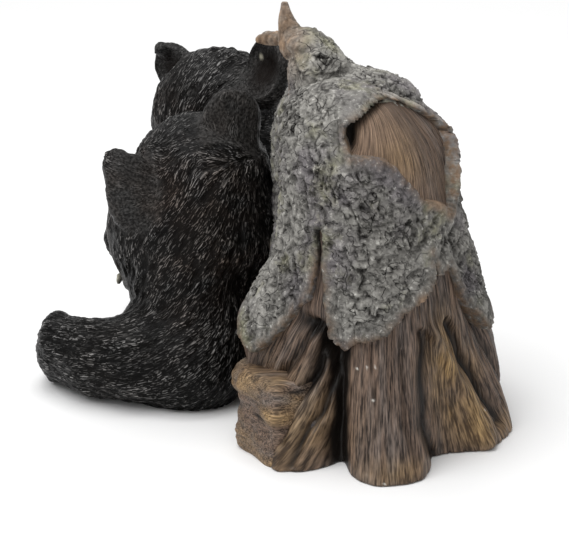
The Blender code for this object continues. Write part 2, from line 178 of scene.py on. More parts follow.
def new_material(name, roughness, specular):
    """A Principled material and the wire of its Object coordinates."""
    material = bpy.data.materials.new(name)
    material.use_nodes = True
    shader = material.node_tree.nodes["Principled BSDF"]
    shader.inputs["Roughness"].default_value = roughness
    shader.inputs["Specular IOR Level"].default_value = specular
    return material, Wire(material.node_tree.nodes.new("ShaderNodeTexCoord").outputs["Object"])


def plug(material, **wires):
    """Link wires to the named sockets of a material's Principled shader."""
    shader = material.node_tree.nodes["Principled BSDF"]
    for name, wire in wires.items():
        material.node_tree.links.new(wire.socket, shader.inputs[name.replace("_", " ")])


FLOOR_HALF = 6.0
FLOOR_GREY = 0.905
floor_mesh = bpy.data.meshes.new("floor")
floor_mesh.from_pydata(
    [(-FLOOR_HALF, -FLOOR_HALF, 0.0), (FLOOR_HALF, -FLOOR_HALF, 0.0),
     (FLOOR_HALF, FLOOR_HALF, 0.0), (-FLOOR_HALF, FLOOR_HALF, 0.0)], [], [(0, 1, 2, 3)]
)
floor = bpy.data.objects.new("floor", floor_mesh)
bpy.context.scene.collection.objects.link(floor)
pale_floor, _ = new_material("pale_floor", 0.95, 0.1)
floor_shader = pale_floor.node_tree.nodes["Principled BSDF"]
floor_shader.inputs["Base Color"].default_value = (FLOOR_GREY, FLOOR_GREY, FLOOR_GREY, 1.0)
floor.data.materials.append(pale_floor)


# The cubs' bodies.
# Two cast cubs sit hugged together. Each is a set of balls and tapering limbs that melt into
# one skin, as clay does before the mould is made, with the fur cut into it with a small gouge.
FUR_MESH = 1.45
# A cub's balls and feet: centre, half-sizes and how softly each melts in. Its limbs: centres and
# radii from the body to the paw. Its head: centre, radius, its right side and the muzzle's way.
# Its ears: centre, half-sizes across, through and up, the way each points and the way it faces.
# Its pale spots, chips where the paint has come off and a painted glint in the hugging cub's ear:
# place and reach. Its comb: place and the fur's way.
NESTLING_CUB = {
    "balls": (
        ((-146, 84, 33), (54, 58, 50), 16),
        ((-142, 103, 132), (64, 48, 42), 16),
        ((-82, 132, 64), (28, 46, 74), 6),
        ((-198, 74, 190), (11, 8, 14), 7),
        ((-201, 110, 85), (2.5, 6, 4), 1.5),
        ((-188, 112, 68), (3, 7, 5), 1.5),
    ),
    "limbs": (
        ((-143, 90, 36, 46), (-143, 95, 66, 45), (-145, 100, 98, 50),
         (-142, 104, 130, 55), (-136, 110, 160, 54)),
        ((-174, 98, 144, 30), (-181, 102, 114, 24), (-177, 120, 86, 21),
         (-172, 148, 82, 19), (-158, 170, 90, 17)),
        ((-108, 96, 146, 28), (-100, 99, 118, 25), (-106, 124, 94, 21),
         (-124, 152, 92, 17)),
        ((-156, 80, 42, 40), (-190, 64, 35, 33), (-218, 76, 31, 31),
         (-240, 93, 30, 27)),
        ((-124, 118, 40, 36), (-140, 150, 32, 27), (-152, 176, 29, 24)),
    ),
    "feet": (
        ((-251, 101, 30), (17, 27, 29), 3),
        ((-157, 186, 29), (26, 15, 29), 3),
    ),
    "head": ((-136, 112, 167), 56, (0.83, 0.20, 0.50), (-0.74, 0.62, -0.22)),
    "ears": (
        ((-187, 72, 172), (20, 9, 29), (-0.06, -0.04, 1), (-0.10, 0.98, 0.08)),
        ((-111, 100, 217), (24, 9, 28), (0.06, -0.10, 0.98), (-0.25, 0.90, -0.20)),
    ),
    "chips": (((-203, 109, 85), 4), ((-190, 110, 68), 5)),
    "comb": (
        ((-157, 90, 217), (-0.6, -0.6, 0.5)), ((-165, 150, 200), (0.2, -0.7, 0.6)),
        ((-175, 75, 200), (-0.7, 0, 0.7)), ((-125, 75, 205), (-0.7, -0.2, 0.6)),
        ((-150, 62, 190), (-0.3, -0.3, -0.9)), ((-105, 62, 180), (-0.5, 0, -0.85)),
        ((-140, 48, 140), (-0.62, 0, -0.78)), ((-115, 50, 110), (-0.5, 0, -0.86)),
        ((-150, 44, 95), (-0.62, 0, -0.78)), ((-85, 85, 120), (-0.2, 0, -0.98)),
        ((-150, 32, 45), (-0.80, 0, -0.55)), ((-105, 45, 40), (-0.55, 0, -0.80)),
        ((-190, 45, 25), (-0.97, 0.1, -0.15)), ((-205, 95, 120), (0.35, -0.1, -0.93)),
        ((-192, 82, 172), (-1, 0, 0.15)), ((-108, 90, 226), (0.45, 0, 0.9)),
    ),
}
HUGGING_CUB = {
    "balls": (
        ((-106, 206, 36), (59, 60, 52), 16),
        ((-113, 206, 140), (46, 56, 40), 16),
        ((-112, 154, 44), (40, 46, 62), 6),
        ((-171, 232, 239), (6, 6, 8), 7),
    ),
    "limbs": (
        ((-106, 206, 44, 52), (-107, 206, 76, 51), (-110, 206, 108, 50),
         (-114, 206, 142, 48), (-122, 207, 180, 48)),
        ((-140, 184, 146, 24), (-172, 176, 132, 19), (-194, 156, 118, 17),
         (-199, 138, 108, 16)),
        ((-92, 232, 146, 24), (-106, 256, 116, 20), (-140, 256, 96, 17),
         (-166, 236, 96, 16)),
        ((-128, 204, 40, 36), (-157, 212, 32, 26), (-177, 222, 28, 23)),
        ((-112, 236, 40, 38), (-150, 258, 31, 26), (-180, 270, 28, 24)),
    ),
    "feet": (
        ((-184, 224, 30), (15, 25, 29), 3),
        ((-188, 273, 30), (16, 25, 29), 3),
    ),
    "head": ((-124, 208, 195), 54, (-0.80, 0.52, 0.02), (-0.42, -0.66, -0.62)),
    "ears": (
        ((-82, 166, 242), (25, 12, 28), (0.20, -0.10, 0.95), (-0.80, -0.58, 0.12)),
        ((-160, 234, 225), (21, 9, 21), (-0.60, 0.40, 0.70), (-0.70, -0.60, 0.10)),
    ),
    # A painted glint in the ear.
    "chips": (((-95.6, 169, 251), 1.9),),
    "comb": (
        ((-160, 175, 185), (0.3, 0.4, 0.85)), ((-140, 175, 225), (0.6, 0.5, 0.6)),
        ((-124, 200, 250), (0.5, 0.8, -0.1)), ((-90, 170, 205), (0.95, 0.2, -0.1)),
        ((-80, 215, 200), (0.2, 0.3, -0.95)), ((-120, 262, 200), (0.2, 0.2, -0.95)),
        ((-60, 210, 110), (0, 0.1, -1)), ((-110, 265, 60), (-0.5, 0.2, -0.8)),
        ((-80, 165, 245), (0.5, 0, 0.8)),
    ),
}
# The head's own forms: place and half-sizes as shares of the head's radius, in the head's
# frame of right, forward and up, and how softly each melts in.
HEAD_FORMS = (
    ((0, 0, 0), (1, 0.98, 0.93), 10),
    ((0.48, 0.25, -0.26), (0.50, 0.55, 0.50), 14),
    ((-0.48, 0.25, -0.26), (0.50, 0.55, 0.50), 14),
    ((0, 0.86, -0.26), (0.42, 0.56, 0.36), 10),
    ((0, 0.78, -0.48), (0.34, 0.48, 0.22), 6),
    ((0, 0.62, 0.10), (0.34, 0.42, 0.30), 10),
    ((0.34, 0.80, 0.24), (0.19, 0.15, 0.10), 6),
    ((-0.34, 0.80, 0.24), (0.19, 0.15, 0.10), 6),
)
# An ear stands in a wider, thicker and lower mound, given as shares of its half-sizes.
EAR_MOUND = (0.9, 1.5, 0.7)
EAR_MELT = 5.0
MOUND_MELT = 6.0
LIMB_MELT = 12.0
# The gouge's strokes in three sizes: width, length and seed of the noise.
FUR_STROKES = ((8, 30, 3), (3.8, 15, 5), (2.1, 8, 11))


def held(values):
    """Values held between 0 and 1."""
    return np.clip(values, 0.0, 1.0)


def frame_of(up, forward):
    """Three columns square to each other: across, forward and up, with up kept exactly."""
    up = np.array(up) / np.linalg.norm(up)
    forward = np.array(forward) - np.dot(forward, up) * up
    forward = forward / np.linalg.norm(forward)
    return np.stack([np.cross(forward, up), forward, up], 1)


def head_frame(head):
    """Columns of the head's frame: its right, the way the muzzle points, and up."""
    _, _, right, forward = head
    turned = frame_of(forward, right)
    return np.stack([turned[:, 1], turned[:, 2], np.cross(turned[:, 1], turned[:, 2])], 1)


def all_balls(cub):
    """Every egg-shaped form of a cub: centre, half-sizes, frame and softness."""
    plain = np.identity(3)
    forms = [(centre, sizes, plain, soft) for centre, sizes, soft in cub["balls"]]
    centre, radius, _, _ = cub["head"]
    turned = head_frame(cub["head"])
    for place, sizes, soft in HEAD_FORMS:
        middle = centre + turned @ np.array(place) * radius
        forms.append((middle, np.array(sizes) * radius, turned, soft))
    for centre, sizes, points_to, faces in cub["ears"]:
        turned = frame_of(points_to, faces)
        forms.append((centre, sizes, turned, EAR_MELT))
        foot = np.array(centre) - turned[:, 2] * sizes[2] * 0.5
        forms.append((foot, np.array(sizes) * EAR_MOUND, turned, MOUND_MELT))
    forms += [(centre, sizes, plain, soft) for centre, sizes, soft in cub["feet"]]
    return forms


def melted_distance(points, cub):
    """Distance to the cub's skin: each form's distance, joined by a smooth minimum.

    An egg's distance is k (k - 1) / m, where k is the length of the place divided by the
    half-sizes and m the same divided by their squares. A limb's is the distance to its line
    less the radius there. Two distances a and b join as min(a, b) - s h h / 4, where s is
    how softly they melt and h is 1 - |a - b| / s, never under 0.
    """
    parts = []
    for path in cub["limbs"]:
        nearest = np.full(len(points), 1e9)
        for start, end in zip(path[:-1], path[1:]):
            a, b = np.array(start[:3]), np.array(end[:3])
            along = held((points - a) @ (b - a) / np.dot(b - a, b - a))
            line = a + along[:, None] * (b - a)
            gap = np.linalg.norm(points - line, axis=1) - (start[3] + along * (end[3] - start[3]))
            nearest = np.minimum(nearest, gap)
        parts.append((nearest, LIMB_MELT))
    for centre, sizes, turned, soft in all_balls(cub):
        local = (points - centre) @ turned
        k = np.linalg.norm(local / sizes, axis=1)
        m = np.linalg.norm(local / np.square(sizes), axis=1)
        parts.append((k * (k - 1.0) / np.maximum(m, 1e-6), soft))
    joined = parts[0][0]
    for gap, soft in parts[1:]:
        h = held(1.0 - np.abs(joined - gap) / soft)
        joined = np.minimum(joined, gap) - soft * h * h / 4.0
    return joined


def directions(rows, columns):
    """Unit directions on a grid of two angles: sines and cosines of the angles down and around."""
    down = np.linspace(0.0, math.pi, rows)
    around = np.arange(columns) / columns * 2.0 * math.pi
    down, around = np.meshgrid(down, around, indexing="ij")
    ring = np.sin(down)
    return np.stack([ring * np.cos(around), ring * np.sin(around), np.cos(down)], -1)


def egg_grid(centre, sizes, turned, rows=16, columns=24):
    """Egg surface: unit directions times the half-sizes, turned and moved to the centre."""
    local = directions(rows + 1, columns) * np.array(sizes)
    return local @ np.asarray(turned).T + np.array(centre)


def limb_grids(path, count, rows, columns):
    """Balls strung along a path of centres and radii, straight between its stops."""
    stops = np.linspace(0.0, len(path) - 1.0, count)
    table = np.array(path)
    line = np.stack([np.interp(stops, range(len(path)), table[:, i]) for i in range(4)], -1)
    return [egg_grid(ball[:3], (ball[3],) * 3, np.identity(3), rows, columns) for ball in line]


def grid_faces(rows, columns, first=0):
    """Four-cornered faces of a grid whose columns close into a ring, rows running downwards."""
    row, column = np.meshgrid(np.arange(rows - 1), np.arange(columns), indexing="ij")
    here = first + row * columns + column
    beside = first + row * columns + (column + 1) % columns
    return np.stack([here, here + columns, beside + columns, beside], -1).reshape(-1, 4)


def rough_mesh(name, grids):
    """One mesh of several closed grids, still loose from each other."""
    points, faces, first = [], [], 0
    for grid in grids:
        points.append(grid.reshape(-1, 3))
        faces.append(grid_faces(grid.shape[0], grid.shape[1], first))
        first += grid.shape[0] * grid.shape[1]
    mesh = bpy.data.meshes.new(name)
    mesh.from_pydata(np.concatenate(points), [], np.concatenate(faces))
    return mesh


def melted(mesh, cell):
    """The outer skin of overlapping shapes as one mesh of small squares of the given size."""
    thing = bpy.data.objects.new(mesh.name, mesh)
    bpy.context.scene.collection.objects.link(thing)
    melt = thing.modifiers.new("melt", "REMESH")
    melt.mode = "VOXEL"
    melt.voxel_size = cell
    seen = thing.evaluated_get(bpy.context.evaluated_depsgraph_get())
    skin = bpy.data.meshes.new_from_object(seen)
    bpy.data.objects.remove(thing)
    return skin


def column(source, name):
    """One vector of every corner as an array."""
    flat = np.empty(len(source) * 3, np.float32)
    source.foreach_get(name, flat)
    return flat.reshape(-1, 3).astype(float)


def scramble(cells, seed):
    """A steady number from 0 to 1 for each whole-number cell: products with large odd numbers,
    kept to 32 bits and folded on themselves by shifts."""
    x, y, z = (cells[..., i].astype(np.uint64) for i in range(3))
    h = x * np.uint64(374761393) + y * np.uint64(668265263) + z * np.uint64(2246822519)
    h = (h + np.uint64(seed * 3266489917)) & np.uint64(0xFFFFFFFF)
    h = ((h ^ (h >> np.uint64(15))) * np.uint64(2654435761)) & np.uint64(0xFFFFFFFF)
    h = ((h ^ (h >> np.uint64(13))) * np.uint64(1597334677)) & np.uint64(0xFFFFFFFF)
    return (h ^ (h >> np.uint64(16))).astype(float) / 4294967296.0


def lumps(points, seed):
    """Smooth noise from -1 to 1: numbers on a cubic lattice, eased from corner to corner."""
    cell = np.floor(points)
    part = points - cell
    ease = part * part * (3.0 - 2.0 * part)
    cell = (cell + 4096).astype(np.int64)
    total = np.zeros(points.shape[:-1])
    for corner in np.ndindex(2, 2, 2):
        weight = np.prod(np.where(np.array(corner), ease, 1.0 - ease), axis=-1)
        total += weight * scramble(cell + np.array(corner), seed)
    return total * 2.0 - 1.0


def brushed(points, along, width, length, seed):
    """Noise drawn out into strokes: the mean of lumps at steps along the comb direction."""
    steps = np.linspace(-0.5, 0.5, 9)
    total = sum(lumps((points + along * (step * length)) / width, seed) for step in steps)
    return total / len(steps) * 2.2


def comb_direction(points, normals, guides):
    """Unit direction in the skin: the guides' directions weighed by nearness, laid flat."""
    total = np.zeros_like(points)
    for place, way in guides:
        weight = 1.0 / (np.sum((points - place) ** 2, axis=1) + 300.0) ** 2
        total += weight[:, None] * np.array(way)
    total -= np.sum(total * normals, axis=1)[:, None] * normals
    return total / (np.linalg.norm(total, axis=1)[:, None] + 1e-12)


def limb_guides(cub):
    """Comb guides along each arm and leg, from the body to the paw, on both of its sides."""
    guides = []
    for path in cub["limbs"][1:]:
        for start, end in zip(path[:-1], path[1:]):
            a, b = np.array(start[:3]), np.array(end[:3])
            way = (b - a) / np.linalg.norm(b - a)
            guides += [((a + b) / 2.0 + offset, way) for offset in ((0, -14, 0), (0, 14, 0))]
    return guides


def carry(mesh, **layers):
    """Store numbers or vectors by name for every corner point, for the materials to read."""
    for name, values in layers.items():
        single = values.size == len(mesh.vertices)
        layer = mesh.attributes.new(name, "FLOAT" if single else "FLOAT_VECTOR", "POINT")
        layer.data.foreach_set("value" if single else "vector", values.astype(np.float32).ravel())


def finish_piece(mesh, name, points, material):
    """Put the mesh's points in place and make it a piece that stands for the casting."""
    placed = in_place(points.reshape(-1, 3))
    mesh.vertices.foreach_set("co", placed.astype(np.float32).ravel())
    mesh.name = name
    mesh.materials.append(material)
    mesh.shade_smooth()
    mesh.update()
    piece = bpy.data.objects.new(name, mesh)
    bpy.context.scene.collection.objects.link(piece)
    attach(piece, "root")
    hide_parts("bear_cubs_and_stump")


def settle_on_skin(points, cub):
    """Move points along the slope of the cub's distance until it is zero."""
    step = 0.5
    for _ in range(3):
        here = melted_distance(points, cub)
        slope = [melted_distance(points + step * axis, cub) - here for axis in np.eye(3)]
        slope = np.stack(slope, 1) / step
        slope /= np.linalg.norm(slope, axis=1)[:, None] + 1e-9
        points = points - slope * here[:, None]
    return points, slope


# Near-black fur paint with a brown glaze. Within each tuft of 7 mm the noise is squeezed
# along the way the fur lies, so that it draws short strokes. The strokes on the ridges are painted
# lighter: partly dry-brushed grey, partly painted highlights that stand for the glints of the gloss.
TUFTS_PER_METRE = 140.0
fur_paint, place = new_material("black_fur_paint", 0.40, 0.09)
cells = {"Vector": place, "Scale": TUFTS_PER_METRE}
tuft, tint = (place.node("ShaderNodeTexVoronoi", {}, cells, kind) for kind in ("Position", "Color"))
within = place.vector("SUBTRACT", place, tuft)
swing = tint.vector("SUBTRACT", tint, (0.5, 0.5, 0.5)).scaled(0.3)
way = swing.vector("NORMALIZE", swing.vector("ADD", swing, place.read("comb", "Vector")))
along = within.vector("DOT_PRODUCT", within, way, output="Value")
squeezed = within.vector("SUBTRACT", within, way.scaled(along * 0.91))
strokes = within.vector("ADD", squeezed, tint).noise(1150.0, 1.0, 0.5)
blotch = place.noise(45.0, 3.0)
ridge = place.read("ridge")
furry = place.read("furry")
drybrush_and_glint_strokes = strokes.between(0.55, 0.72) * ridge.between(0.10, 0.80)
soft = place.noise(500.0, 3.0).between(0.40, 0.7) * 0.28 + 0.04
lift = furry.maths("MULTIPLY_ADD", furry, drybrush_and_glint_strokes - soft, soft)
# The strokes' light end is partly dry-brushed grey paint and partly painted highlight for the glints.
black = lift.mix((0.0024, 0.0023, 0.0022), (0.270, 0.264, 0.258))
brown = lift.mix((0.0110, 0.0078, 0.0062), (0.270, 0.210, 0.172))
glaze = (place.read("glaze") * blotch.between(0.30, 0.62)).between(0.0, 1.05)
fur_colour = glaze.mix(black, brown)
# The ears' hollows are painted dark brown: painted shade inside the cups.
fur_colour = place.read("cup").mix(fur_colour, (0.0065, 0.0042, 0.0032))
# Pale spots: chips of bare resin on the claws, and a painted highlight for a glint in the hugging
# cub's ear.
fur_colour = place.read("chip").mix(fur_colour, (0.40, 0.38, 0.30))
sheen = blotch.between(0.2, 0.9) * 0.14 + 0.30
plug(fur_paint, Base_Color=fur_colour, Normal=strokes.bump(0.0008), Roughness=sheen)


def make_cub(name, cub, glaze_spots):
    """Melt a cub's forms, hollow its ears and cut its fur."""
    grids = [egg_grid(centre, sizes, turned) for centre, sizes, turned, _ in all_balls(cub)]
    for path in cub["limbs"]:
        grids += limb_grids(path, 7 * (len(path) - 1) + 1, 10, 16)
    mesh = melted(rough_mesh(name, grids), FUR_MESH)
    points, normals = settle_on_skin(column(mesh.vertices, "co"), cub)
    moved = points.copy()
    bare, cup = np.zeros(len(points)), np.zeros(len(points))
    for centre, (across, thick, up), points_to, faces in cub["ears"]:
        turned = frame_of(points_to, faces)
        local = (points - centre) @ turned
        reach = np.hypot(local[:, 0] / across, local[:, 2] / up)
        near = np.abs(local[:, 1]) < thick * 2.2
        facing = held(normals @ turned[:, 1] * 1.5) * near
        hollow = held(1.0 - reach / 0.85) ** 0.5 * thick * 1.2
        moved -= (facing * hollow)[:, None] * turned[:, 1]
        # How deep a point lies in an ear's hollow, for the painted shade there.
        cup = np.maximum(cup, facing * held(1.6 - reach * 2.0))
        bare = np.maximum(bare, held((1.3 - reach) * 3.0) * near * 0.75)
    centre, radius, _, _ = cub["head"]
    turned = head_frame(cub["head"])
    local = (points - centre) @ turned / radius
    muzzle = held((local[:, 1] - 0.75) * 2.5) * (np.linalg.norm(local, axis=1) < 1.8)
    bare = np.maximum(bare, muzzle)
    along_fur = comb_direction(points, normals, [*cub["comb"], *limb_guides(cub)])
    waves, tufts, cuts = (brushed(points, along_fur, *stroke) for stroke in FUR_STROKES)
    relief = 0.7 * waves + tufts + 0.9 * cuts
    furry = 1.0 - 0.85 * bare
    moved += normals * (relief * furry)[:, None]
    chip = np.zeros(len(points))
    for spot, reach in cub["chips"]:
        chip = np.maximum(chip, held(1.6 - np.linalg.norm(points - spot, axis=1) / reach))
    shade = muzzle * 0.9
    for spot, reach, strength in glaze_spots:
        gap = np.linalg.norm(points - spot, axis=1) / reach
        shade = np.maximum(shade, strength * np.exp(-gap ** 2))
    moved[:, 2] = np.maximum(moved[:, 2], 0.0)
    ridge = held(0.5 + 0.35 * tufts + 0.35 * cuts)
    comb = along_fur @ side_turn.T
    carry(mesh, comb=comb, ridge=ridge, glaze=shade, furry=furry, chip=chip, cup=cup)
    finish_piece(mesh, name, moved, fur_paint)


# Where the brown glaze lies: place, reach and strength.
NESTLING_GLAZE = (
    ((-188, 84, 170), 30, 1), ((-118, 52, 165), 48, 0.8),
    ((-120, 48, 120), 50, 0.9), ((-150, 45, 95), 45, 0.5),
    ((-108, 95, 225), 26, 0.5), ((-190, 60, 40), 40, 0.3),
    ((-152, 58, 172), 38, 0.9),
)
HUGGING_GLAZE = (
    ((-150, 165, 175), 30, 0.8), ((-160, 170, 200), 36, 0.6),
    ((-80, 165, 240), 30, 0.3),
)
make_cub("nestling_cub", NESTLING_CUB, NESTLING_GLAZE)
make_cub("hugging_cub", HUGGING_CUB, HUGGING_GLAZE)


# The cubs' eyes and noses.
# Beads and a rounded pad of the same casting, painted a glossy black-brown. Their places and
# half-sizes are shares of the head's radius, as the head's own forms are.
EYE_PLACE = (0.37, 0.95, 0.13)
EYE_SIZE = 0.10
NOSE_PLACE = (0, 1.39, -0.15)
NOSE_SIZE = (0.19, 0.12, 0.13)
glossy_paint, place = new_material("glossy_face_paint", 0.16, 0.5)
gloss = place.noise(200.0, 2.0).mix((0.006, 0.004, 0.003), (0.022, 0.012, 0.008))
plug(glossy_paint, Base_Color=gloss)

for name, cub in (("nestling_face", NESTLING_CUB), ("hugging_face", HUGGING_CUB)):
    centre, radius, _, _ = cub["head"]
    turned = head_frame(cub["head"])
    grids = []
    for side in (-1.0, 1.0):
        eye = centre + turned @ np.array((side * EYE_PLACE[0], *EYE_PLACE[1:])) * radius
        eye, _ = settle_on_skin(eye[None], cub)
        grids.append(egg_grid(eye[0], (EYE_SIZE * radius,) * 3, turned))
    nose = centre + turned @ np.array(NOSE_PLACE) * radius
    grids.append(egg_grid(nose, np.array(NOSE_SIZE) * radius, turned))
    mesh = rough_mesh(name, grids)
    finish_piece(mesh, name, column(mesh.vertices, "co"), glossy_paint)


# The stump's wood.
# The trunk and its roots are cast in one with the cubs. Where the bark has come away the old
# wood shows: long grain, split crevices and roots, painted brown and dry-brushed with tan.
STUMP_CENTRE = (-2, 45)
# The bare trunk: half-widths at these heights, and how much deeper than wide it is.
TRUNK_HEIGHTS = (0, 36, 68, 92, 120, 140, 159, 198, 240)
TRUNK_HALF_WIDTHS = (80, 79, 77, 75, 71.5, 67.5, 65, 61, 58)
TRUNK_DEPTH_RATIO = 1.3
SHOULDER_HEIGHT = 200.0
CROWN_HEIGHT = 270.0
# Length of the surface from the shoulder to the middle of the crown.
OVER_CROWN = 105.0
LEAN_START = 120.0
CROWN_SHIFT = (-24, -6)
MM_PER_DEGREE = 1.45
# The grain is drawn on a ring of this radius, so that it fans out with the roots.
FAN_RADIUS = 85.0
# Bearing, reach, half-width in degrees, height where it fades, and how square its face is.
ROOTS = (
    (-23, 30, 18, 100, 2), (-85, 38, 16.5, 90, 3), (-121, 38, 12.5, 85, 2),
    (-149, 30, 20, 130, 2), (12, 18, 18, 110, 2), (52, 30, 16, 85, 2),
    (88, 26, 16, 80, 2), (-44, 16, 13, 40, 2),
)
# Bearing, height, half-width in degrees, half-height, and how far it stands out.
SWELLS = (
    (124, 90, 26, 190, 32), (-164, 86, 24, 34, 17), (-20, 240, 30, 30, 4),
    (-174, 205, 26, 60, -6), (5, 230, 34, 34, 7), (-8, 62, 16, 34, 6),
)
# Lines of bearings and heights, how far they are cut in (or stand out, below 0), and half-width.
CUTS = (
    (((-109, 98), (-107, 67), (-104, 36), (-104, 2)), 15, 5),
    (((-69, 98), (-71, 68), (-73, 35), (-66, 4)), 8, 4.5),
    (((-51, 98), (-37, 52), (-31, 14)), 8, 4),
    (((-36, 112), (-24, 66), (-12, 4)), 7, 4),
    (((-112, 90), (-119, 60), (-127, 30), (-130, 14)), 8, 3.5),
    (((-117, 104), (-127, 72), (-139, 48)), 6, 3.2),
    (((-110, 72), (-113, 40), (-119, 4)), 7, 3),
    (((-114, 78), (-123, 46), (-124, 20)), 4, 2.4),
    (((-92, 96), (-91, 50), (-93, 8)), 3, 1.8),
    (((-79, 90), (-80, 40), (-77, 10)), 3.5, 2),
    (((-63, 96), (-56, 73), (-46, 43), (-41, 6)), -8, 6),
    (((25, 100), (27, 50), (25, 4)), 9, 10),
    (((72, 100), (70, 50), (72, 4)), 10, 10),
    # Under the rolled lip and in the hollow beside the main tongue the wood is cut in, and by its
    # depth painted dark as shade.
    (((-95, 238), (-91, 250), (-78, 257), (-58, 262), (-44, 263)), 11, 7),
    (((-123, 104), (-113, 100), (-108, 88)), 8, 7),
    (((-18, 232), (-21, 205), (-28, 180)), 4, 2.2),
    (((-11, 235), (-13, 212), (-19, 190)), 4, 2),
)
# Bearings and heights of a few specks of white ground that the brown paint missed.
SPECKS = ((-97.9, 78.2), (-94.1, 80.4), (-91, 81.4), (-91.6, 58.1), (-38, 27.7), (-88, 2))
# Where ochre was rubbed on: bearing, height, half-width in degrees, half-height and strength.
OCHRE_SPOTS = (
    (-56, 70, 10, 28, 1.8), (-46, 36, 10, 30, 1.8), (-118, 30, 16, 44, 0.5),
    (-30, 8, 16, 12, 0.5), (-128, 62, 16, 20, 0.4), (-84, 8, 14, 10, 0.5),
    (-60, 226, 18, 22, 0.5), (-38, 205, 20, 20, 0.1), (60, 60, 30, 40, 0.5),
    (100, 20, 30, 30, 0.5),
)
GRID_COLUMNS = 600
GRID_ROWS = 164
# The side that shows most: its first and last bearing, and its share of the grid's columns.
FINE_START = -190.0
FINE_END = 10.0
FINE_SHARE = 0.64
# Shares of the climb that lie under the foot, up the side and over the crown.
FOOT_SHARE = 0.08
SIDE_SHARE = 0.72
CROWN_SHARE = 0.20
# Shares of the rows, and the climb that each has reached.
WOOD_ROWS = ((0, 0.02, 0.66, 0.70, 1), (0, 0.08, 0.58, 0.66, 1))


def turned_by(bearings, start):
    """Difference of two bearings in degrees, brought to between -180 and 180."""
    return (bearings - start + 180.0) % 360.0 - 180.0


def length_up(heights):
    """Length up the surface: the height itself to the shoulder, then on over the crown."""
    over = held((heights - SHOULDER_HEIGHT) / (CROWN_HEIGHT - SHOULDER_HEIGHT))
    return np.minimum(heights, SHOULDER_HEIGHT) + OVER_CROWN * np.arcsin(over) / (math.pi / 2.0)


def spot(bearings, heights, bearing, height, half, half_height):
    """A soft spot: exp of minus the square of the gap, counted in the spot's half-sizes."""
    gap = (turned_by(bearings, bearing) / half) ** 2 + ((heights - height) / half_height) ** 2
    return np.exp(-gap)


def stretch_gap(turns, heights, start, end):
    """Distance in millimetres to a straight stretch between two bearings and heights.

    The turns are the bearings less the start's. Each place is dropped square onto the stretch.
    """
    run, rise = (end[0] - start[0]) * MM_PER_DEGREE, length_up(end[1]) - length_up(start[1])
    across, up = turns * MM_PER_DEGREE, length_up(heights) - length_up(start[1])
    share = held((across * run + up * rise) / (run * run + rise * rise))
    return np.hypot(across - share * run, up - share * rise)


def near_line(bearings, heights, line, half):
    """Closeness to a line of bearings and heights: exp(-(gap / half)^2), the gap in millimetres."""
    gaps = [
        stretch_gap(turned_by(bearings, start[0]), heights, start, end)
        for start, end in zip(line[:-1], line[1:])
    ]
    return np.exp(-(np.minimum.reduce(gaps) / half) ** 2)


def trunk_radius(bearings, heights):
    """Plan radius of the plain trunk: an oval that narrows upwards, with root flares and swells."""
    turn = np.radians(bearings)
    oval = 1.0 / np.hypot(np.cos(turn), np.sin(turn) / TRUNK_DEPTH_RATIO)
    radius = np.interp(heights, TRUNK_HEIGHTS, TRUNK_HALF_WIDTHS) * oval
    for bearing, reach, half, fade, square in ROOTS:
        across = np.exp(-np.abs(turned_by(bearings, bearing) / half) ** square)
        radius += reach * across * np.exp(-(heights / fade) ** 1.4 * 1.3)
    for *place, reach in SWELLS:
        radius += reach * spot(bearings, heights, *place)
    return radius


def crown_angle(climb):
    """Angle over the crown: 0 up to the shoulder, a quarter turn at the middle of the crown."""
    over = held((climb - (1.0 - CROWN_SHARE)) / CROWN_SHARE)
    return over * math.pi / 2.0


def climb_height(climb):
    """Height for a climb: 0 under the foot, up the side to the shoulder, then a sine to the crown."""
    rise = held((climb - FOOT_SHARE) / SIDE_SHARE)
    return SHOULDER_HEIGHT * rise + (CROWN_HEIGHT - SHOULDER_HEIGHT) * np.sin(crown_angle(climb))


def stump_points(bearings, climb, radius):
    """Places for a plan radius: it shrinks to nothing under the foot and over the crown.

    Above the lean's start the centre moves aside with the 1.5th power of the height.
    """
    radius = radius * held(climb / FOOT_SHARE) * np.cos(crown_angle(climb)) ** 0.8
    heights = climb_height(climb)
    turn = np.radians(bearings)
    lean = held((heights - LEAN_START) / (CROWN_HEIGHT - LEAN_START)) ** 1.5
    x = STUMP_CENTRE[0] + radius * np.cos(turn) + CROWN_SHIFT[0] * lean
    y = STUMP_CENTRE[1] + radius * np.sin(turn) + CROWN_SHIFT[1] * lean
    return np.stack([x, y, heights], -1)


def fanned(bearings, heights):
    """Places on a ring of fixed size: what is drawn there fans out with the roots."""
    turn = np.radians(bearings)
    return np.stack([np.cos(turn) * FAN_RADIUS, np.sin(turn) * FAN_RADIUS, heights], -1)


def wood_grain(bearings, heights, width, length, seed):
    """Long noise up the trunk: lumps on the fanned places, of this width and length."""
    return lumps(fanned(bearings, heights) / np.array((width, width, length)), seed)


def grain_bearing(bearings, heights):
    """The bearing a grain line has lower down: lines fan out over the roots and over the crown."""
    low = 1.0 - np.clip(heights, 0.0, 110.0) / 110.0
    slope = held((-100.0 - bearings) / 30.0) * 20.0 * low
    slope -= held((bearings + 70.0) / 50.0) * 14.0 * low
    slope -= held((-35.0 - bearings) / 55.0) * 0.8 * np.clip(heights - 165.0, 0.0, 110.0)
    return bearings + np.where(np.abs(bearings) < 160.0, slope, 0.0)


